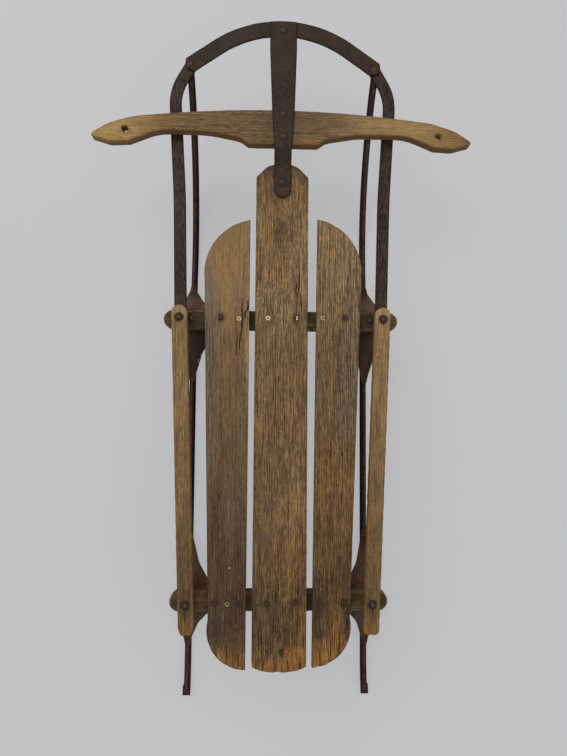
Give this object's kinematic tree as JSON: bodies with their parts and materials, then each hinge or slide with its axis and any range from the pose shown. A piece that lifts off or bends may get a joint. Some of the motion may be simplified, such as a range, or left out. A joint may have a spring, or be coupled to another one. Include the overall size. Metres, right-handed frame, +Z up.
{
  "type": "steerable sled",
  "caption": "Wooden steerable sled with a slatted deck on two benches, side rails, pressed steel knees, T-bar runners and a strap-and-bow steering linkage.",
  "frame": {"origin": "on the floor under the midline, halfway between the front of the bow and the tails of the runners", "axes": "+Y forward, towards the bow; +X to the rider's right; +Z up"},
  "size_m": [0.5696, 1.076, 0.1676],
  "materials": {
    "slats": "weathered oak, dry and matt",
    "benches": "dark weathered wood",
    "rails": "weathered wood, worn ends",
    "crossbar": "weathered wood, worn hands",
    "runners": "dark rusted steel, worn along the sole",
    "knees": "old dark red paint gone brown with rust",
    "linkage": "dark steel with brown rust",
    "bolts": "dull dark steel"
  },
  "bodies": {
    "frame": {"centre_slat": "slats", "slat_left": "slats", "slat_right": "slats", "bench_front": "benches", "bench_rear": "benches", "rail_left": "rails", "rail_right": "rails", "knee_front_left": "knees", "knee_front_right": "knees", "knee_rear_left": "knees", "knee_rear_right": "knees", "runner_left": "runners", "runner_right": "runners", "rail_bolts": "bolts", "pivot_bolt": "bolts"},
    "steering": {"strap": "linkage", "crossbar": "crossbar"},
    "side_bar_left": {"side_bar_left": "linkage"},
    "side_bar_right": {"side_bar_right": "linkage"},
    "bow": {"bow": "linkage", "bow_rivets": "bolts"},
    "runner_front_left": {"runner_front_left": "runners"},
    "runner_front_right": {"runner_front_right": "runners"}
  },
  "joints": [
    {"name": "steer_turn", "type": "hinge", "parent": "frame", "child": "steering", "pos_m": [0, 0.2797, 0.1515], "axis": [0, 0, 1], "range_deg": [-8, 8], "stiffness_Nm_per_rad": 60},
    {"name": "side_bar_left_turn", "type": "hinge", "parent": "frame", "child": "side_bar_left", "pos_m": [-0.1508, 0.071, 0.1418], "axis": [0, 0, 1], "range_deg": [-4.99, 4.99]},
    {"name": "side_bar_right_turn", "type": "hinge", "parent": "frame", "child": "side_bar_right", "pos_m": [0.1508, 0.071, 0.1418], "axis": [0, 0, 1], "range_deg": [-4.99, 4.99]},
    {"name": "bow_turn", "type": "hinge", "parent": "side_bar_left", "child": "bow", "pos_m": [-0.1424, 0.4643, 0.1451], "axis": [0, 0, 1], "range_deg": [-5.28, 5.28]},
    {"name": "runner_left_flex", "type": "hinge", "parent": "frame", "child": "runner_front_left", "pos_m": [-0.148, 0.156, 0.008], "axis": [0, 0, 1], "range_deg": [-6.35, 6.35]},
    {"name": "runner_right_flex", "type": "hinge", "parent": "frame", "child": "runner_front_right", "pos_m": [0.148, 0.156, 0.008], "axis": [0, 0, 1], "range_deg": [-6.35, 6.35]}
  ],
  "couplings": [
    {"joint": "side_bar_left_turn", "follows": "steer_turn", "ratio": 0.61747},
    {"joint": "side_bar_right_turn", "follows": "steer_turn", "ratio": 0.61747},
    {"joint": "bow_turn", "follows": "steer_turn", "ratio": -0.65389},
    {"joint": "runner_left_flex", "follows": "steer_turn", "ratio": 0.78771},
    {"joint": "runner_right_flex", "follows": "steer_turn", "ratio": 0.78771}
  ]
}
